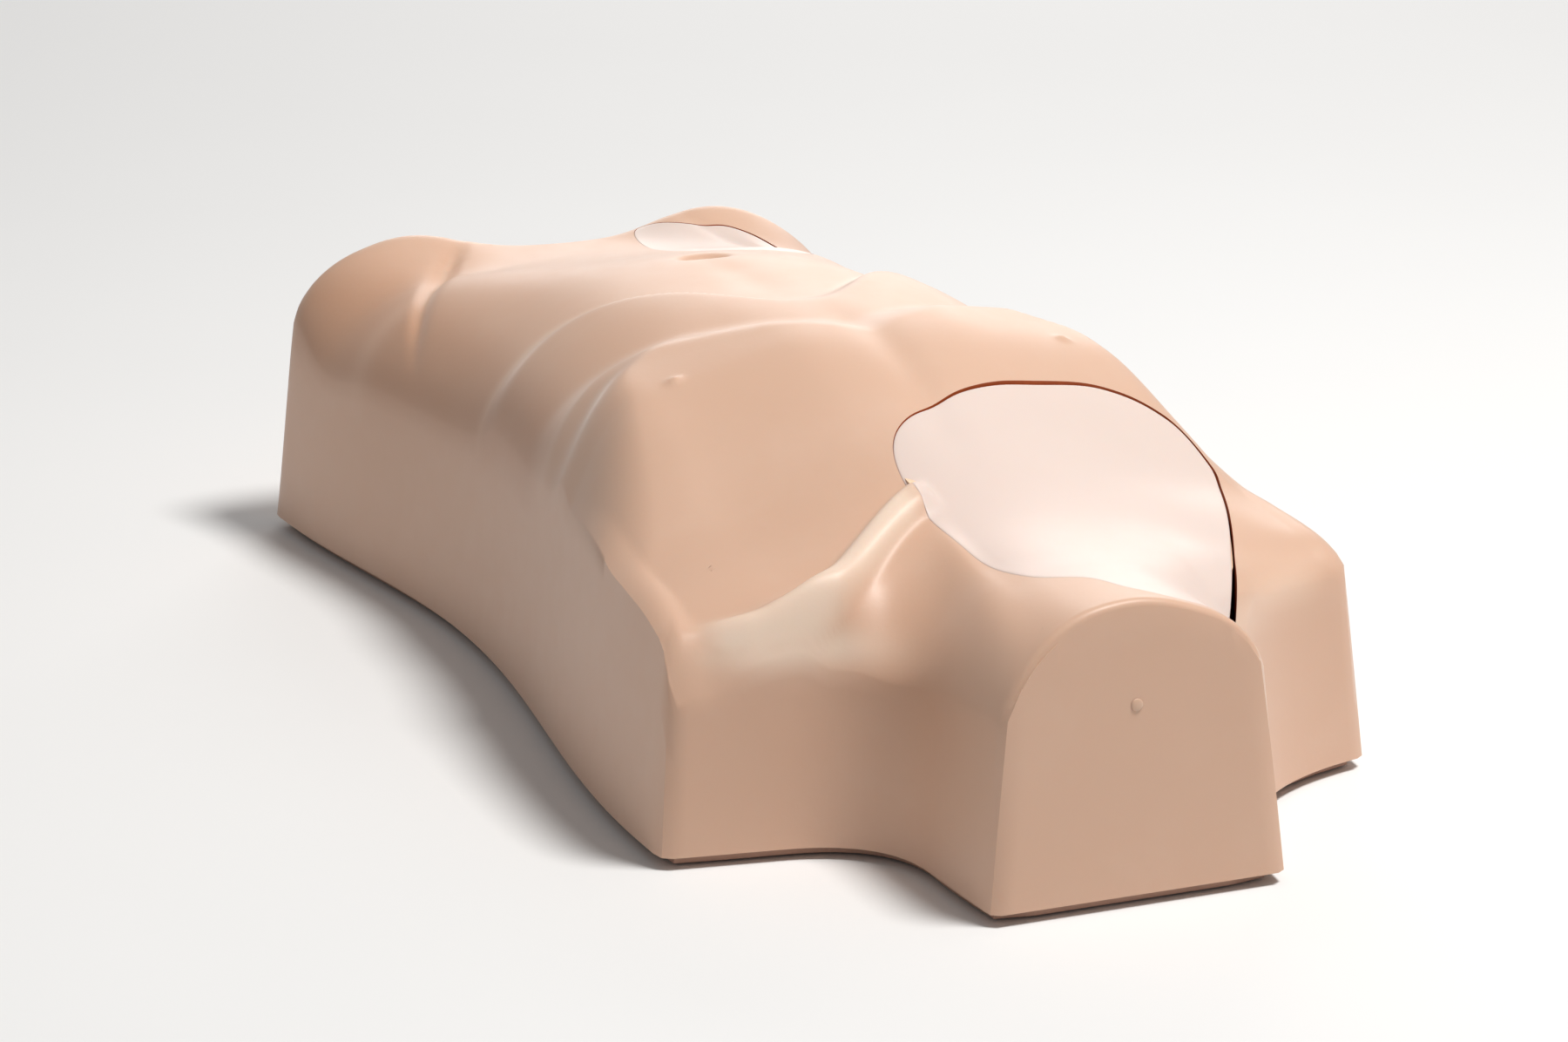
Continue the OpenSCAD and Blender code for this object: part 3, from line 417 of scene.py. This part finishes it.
def buildSkin(name, insert, look):
    # loops inset from the edge round the lip, then scaled in towards the middle; the same loops underneath
    outline = smoothLoop(insert["edge"], look["perSpan"])
    gap = smoothLoop(insert["gap"], look["perSpan"])[:, 0]
    middle = np.array(insert["middle"], float)
    lip = insert["lip"]
    angle = np.radians([0, 22, 45, 67, 90])
    loops = [insetLoop(outline, gap + lip * (1 - math.cos(a))) for a in angle]
    fall = [lip * (1 - math.sin(a)) for a in angle]
    inner = loops[-1]
    scale = np.linspace(1, 0, look["rings"] + 1)[1:-1] ** 1.0
    loops += [middle + f * (inner - middle) for f in scale]
    fall += [0.0] * len(scale)
    plan = np.array(loops)
    z = insertZ(plan[..., 0], plan[..., 1]) - np.array(fall)[:, None]
    z[0] -= 0.2
    low = plan[::4][:, :]
    lowZ = insertZ(low[..., 0], low[..., 1]) - look["thick"]
    n, m = plan.shape[:2]
    k = len(low)
    top = insertPoint(plan[..., 0], plan[..., 1], z).reshape(-1, 3)
    under = insertPoint(low[..., 0], low[..., 1], lowZ).reshape(-1, 3)
    tip = insertPoint(middle[0], middle[1], insertZ(middle[0], middle[1]))
    base = insertPoint(middle[0], middle[1], insertZ(middle[0], middle[1]) - look["thick"])
    points = np.concatenate([top, under, [tip], [base]])
    i = np.arange(m)
    j = (i + 1) % m
    faces = gridFaces(n, m, closed=True).tolist() + gridFaces(k, m, n * m, closed=True, flip=True).tolist()
    faces += np.stack([i, n * m + i, n * m + j, j], -1).tolist()
    faces += np.stack([(n - 1) * m + i, (n - 1) * m + j, np.full(m, len(points) - 2)], -1).tolist()
    faces += np.stack([n * m + (k - 1) * m + j, n * m + (k - 1) * m + i, np.full(m, len(points) - 1)], -1).tolist()
    piece = newPiece(name, points, faces, 60)
    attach(piece, "root")
    return piece

neckSkin = buildSkin("neckInsertSkin", neckInsert, skinLook)
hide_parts("neck_skin")
groinSkin = buildSkin("groinInsertSkin", groinInsert, skinLook)
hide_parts("groin_skin")
print("insert skins:", len(neckSkin.data.polygons), len(groinSkin.data.polygons), "faces")

# ---------------------------------------------------------------- shader helpers
class Wire:
    # one output socket; arithmetic on it adds a Math node
    def __init__(self, tree, socket):
        self.tree, self.socket = tree, socket
    def math(self, operation, *values):
        node = self.tree.nodes.new("ShaderNodeMath")
        node.operation = operation
        for slot, value in zip(node.inputs, values):
            connect(self.tree, slot, value)
        return Wire(self.tree, node.outputs[0])
    def __add__(self, other): return self.math("ADD", self, other)
    def __radd__(self, other): return self.math("ADD", other, self)
    def __sub__(self, other): return self.math("SUBTRACT", self, other)
    def __rsub__(self, other): return self.math("SUBTRACT", other, self)
    def __mul__(self, other): return self.math("MULTIPLY", self, other)
    def __rmul__(self, other): return self.math("MULTIPLY", other, self)
    def __truediv__(self, other): return self.math("DIVIDE", self, other)
    def __pow__(self, other): return self.math("POWER", self, other)

def connect(tree, slot, value):
    if isinstance(value, Wire):
        tree.links.new(value.socket, slot)
    elif slot.type == "RGBA" and len(value) == 3:
        slot.default_value = (*value, 1)
    else:
        slot.default_value = value

class Look:
    # a material and its node tree
    def __init__(self, name, color, roughness, **settings):
        self.material = bpy.data.materials.new(name)
        self.material.use_nodes = True
        self.tree = self.material.node_tree
        self.shader = self.tree.nodes["Principled BSDF"]
        self.material.diffuse_color = (*color, 1)
        self.feed(**{"Base Color": color, "Roughness": roughness}, **settings)
    def node(self, kind, settings=None, output=0, **values):
        node = self.tree.nodes.new("ShaderNode" + kind)
        for key, value in (settings or {}).items():
            if key == "stops":
                while len(node.color_ramp.elements) < len(value):
                    node.color_ramp.elements.new(0.5)
                for element, (position, color) in zip(node.color_ramp.elements, value):
                    element.position, element.color = position, (*color, 1)
            else:
                setattr(node, key, value)
        for key, value in values.items():
            connect(self.tree, node.inputs[int(key[1:]) if key[0] == "i" and key[1:].isdigit() else key.replace("_", " ")], value)
        return Wire(self.tree, node.outputs[output])
    def feed(self, **values):
        for key, value in values.items():
            connect(self.tree, self.shader.inputs[key.replace("_", " ")], value)
    def place(self):
        return self.node("TexCoord", output=3)
    def noise(self, scale, detail=2.0, roughness=0.5, distortion=0.0):
        return self.node("TexNoise", Vector=self.place(), Scale=scale, Detail=detail, Roughness=roughness,
                         Distortion=distortion)
    def mix(self, factor, a, b, blend="MIX"):
        return self.node("Mix", {"data_type": "RGBA", "blend_type": blend}, 2, i0=factor, i6=a, i7=b)
    def bump(self, height, strength, distance):
        self.feed(Normal=self.node("Bump", Height=height, Strength=strength, Distance=distance))

def moulded(name, color, rosy, pale, roughness, grain, cloud=6.0, paintedLight=(), **settings):
    # soft plastic: broad warm and pale clouds, a fine moulding grain and a little gloss variation
    look = Look(name, color, roughness, **settings)
    warm, light = look.noise(cloud, 3, 0.55), look.noise(cloud * 2.7, 4, 0.6)
    tone = look.mix((warm - 0.42) * 2.2, color, rosy)
    tone = look.mix((light - 0.5) * 1.4, tone, pale)
    # painted highlight and painted shade colours, mixed in by the named point attributes
    for key, share, shade in paintedLight:
        tone = look.mix(look.node("Attribute", {"attribute_name": key}, 2) * share, tone, shade)
    speck = look.noise(900, 2)
    look.feed(**{"Base Color": look.mix((speck - 0.5) * 0.25, tone, pale)})
    look.feed(Roughness=look.noise(70, 3) * 0.12 + (roughness - 0.06))
    look.bump(look.noise(420, 3, 0.6) + look.noise(38, 2) * 0.6, grain, 0.0004)
    return look.material

looks = {}
# the shell's attribute tones: a pale painted highlight colour and a dark painted shade colour
looks["shell"] = moulded("fleshVinyl", (0.70, 0.45, 0.322), (0.68, 0.42, 0.292), (0.735, 0.50, 0.375), 0.44, 0.10,
                        paintedLight=(("pale", 0.8, (0.93, 0.74, 0.60)), ("deep", 0.5, (0.50, 0.25, 0.14))),
                         **{"Subsurface Weight": 0.12, "Subsurface Radius": (1.0, 0.45, 0.25), "Subsurface Scale": 0.006,
                            "Specular IOR Level": 0.45, "Sheen Weight": 0.22, "Sheen Roughness": 0.4})
looks["skin"] = moulded("insertElastomer", (0.77, 0.625, 0.562), (0.77, 0.605, 0.542), (0.79, 0.65, 0.592), 0.42, 0.05, 3.0,
                        **{"Subsurface Weight": 0.18, "Subsurface Radius": (1.0, 0.5, 0.32), "Subsurface Scale": 0.006,
                           "Specular IOR Level": 0.38})
looks["tissue"] = moulded("tissueElastomer", (0.86, 0.63, 0.42), (0.85, 0.58, 0.40), (0.90, 0.72, 0.55), 0.5, 0.1)
looks["bone"] = moulded("boneResin", (0.88, 0.84, 0.70), (0.86, 0.79, 0.62), (0.93, 0.90, 0.80), 0.4, 0.15, 30)
looks["vein"] = moulded("veinLatex", (0.08, 0.16, 0.45), (0.10, 0.14, 0.38), (0.14, 0.24, 0.52), 0.38, 0.08, 30)
looks["artery"] = moulded("arteryLatex", (0.52, 0.035, 0.025), (0.45, 0.03, 0.03), (0.60, 0.08, 0.05), 0.38, 0.08, 30)
looks["fitting"] = moulded("whiteNylon", (0.76, 0.76, 0.72), (0.74, 0.72, 0.66), (0.82, 0.82, 0.80), 0.35, 0.05, 40)
looks["cap"] = moulded("redRubber", (0.42, 0.02, 0.015), (0.36, 0.02, 0.02), (0.5, 0.05, 0.03), 0.5, 0.12, 40)
looks["rubber"] = moulded("blackRubber", (0.02, 0.02, 0.02), (0.03, 0.027, 0.025), (0.045, 0.045, 0.045), 0.62, 0.3, 40)

def seamLook():
    # the cut edge of the vinyl, with the light that comes through the wall painted in as a dark red brown
    look = Look("seamEdge", (0.45, 0.085, 0.014), 0.5)
    look.feed(**{"Base Color": look.mix(look.noise(120, 3), (0.50, 0.10, 0.018), (0.36, 0.06, 0.009))})
    look.feed(Roughness=look.noise(200, 2) * 0.2 + 0.45)
    look.bump(look.noise(500, 3), 0.15, 0.0003)
    return look.material

looks["seam"] = seamLook()

def boardLook():
    # painted fibreboard: short fibres and a dull finish
    look = Look("plateBoard", (0.46, 0.27, 0.20), 0.6)
    fibre = look.noise(160, 5, 0.7, 1.5)
    look.feed(**{"Base Color": look.mix(fibre, (0.40, 0.23, 0.165), (0.52, 0.315, 0.235))})
    look.feed(Roughness=fibre * 0.2 + 0.5)
    look.bump(look.noise(700, 4, 0.7), 0.3, 0.0003)
    return look.material

def metalLook(name, color, roughness):
    look = Look(name, color, roughness, Metallic=1.0)
    turned = look.node("TexWave", {"wave_type": "RINGS", "rings_direction": "Z"}, 1, Vector=look.place(), Scale=1400.0,
                       Distortion=1.0)
    look.feed(Roughness=turned * 0.12 + look.noise(60) * 0.15 + (roughness - 0.12))
    look.feed(**{"Base Color": look.mix(look.noise(25, 3), color, tuple(c * 0.8 for c in color))})
    return look.material

looks["plate"] = boardLook()
looks["brass"] = metalLook("turnedBrass", (0.72, 0.50, 0.20), 0.32)
looks["steel"] = metalLook("zincSteel", (0.62, 0.63, 0.65), 0.34)

slotOf = {s["node"]: s["material_slot"] for s in frame["record"]["subparts"]}
for name, node in frame["nodes"].items():
    node.data.materials.clear()
    node.data.materials.append(looks[slotOf[name]])
for slot, material in enumerate(shell.data.materials):
    shell.data.materials[slot] = looks["seam" if material == seamVinyl else "shell"]
for piece in (neckSkin, groinSkin):
    piece.data.materials.append(looks["skin"])
print("materials:", len(looks))

# ---------------------------------------------------------------- floor and light
studio = dict(floor=16.0, sky=0.24,
    lamps=[("keyLight", (-0.9, 0.8, 2.9), 0.9, 90, (1.0, 0.985, 0.96)),
           ("backCard", (-1.7, -3.4, 1.3), 2.4, 42, (1.0, 0.985, 0.965))])

def paleFloor(size):
    s = size / 2
    floor = newPiece("studioFloor", [(-s, -s, 0), (s, -s, 0), (s, s, 0), (-s, s, 0)], [(0, 1, 2, 3)])
    look = Look("studioPaper", (0.86, 0.86, 0.86), 0.9)
    look.feed(**{"Base Color": look.mix(look.noise(3, 2), (0.86, 0.86, 0.86), (0.84, 0.84, 0.84))})
    floor.data.materials.append(look.material)

def areaLight(name, place, target, size, power, color=(1, 1, 1)):
    data = bpy.data.lights.new(name, "AREA")
    data.shape, data.size, data.energy, data.color = "DISK", size, power, color
    lamp = bpy.data.objects.new(name, data)
    lamp.matrix_world = Matrix.Translation(place) @ (Vector(place) - Vector(target)).to_track_quat("Z", "Y").to_matrix().to_4x4()
    bpy.context.scene.collection.objects.link(lamp)

paleFloor(studio["floor"])
for name, place_, size, power, color in studio["lamps"]:
    areaLight(name, place_, (0, 0, 0.1), size, power, color)
world = bpy.data.worlds.new("studioSky")
bpy.context.scene.world = world
world.use_nodes = True
world.node_tree.nodes["Background"].inputs["Color"].default_value = (1, 1, 1, 1)
world.node_tree.nodes["Background"].inputs["Strength"].default_value = studio["sky"]
bpy.context.scene.view_settings.view_transform = "Standard"
print("stage set")
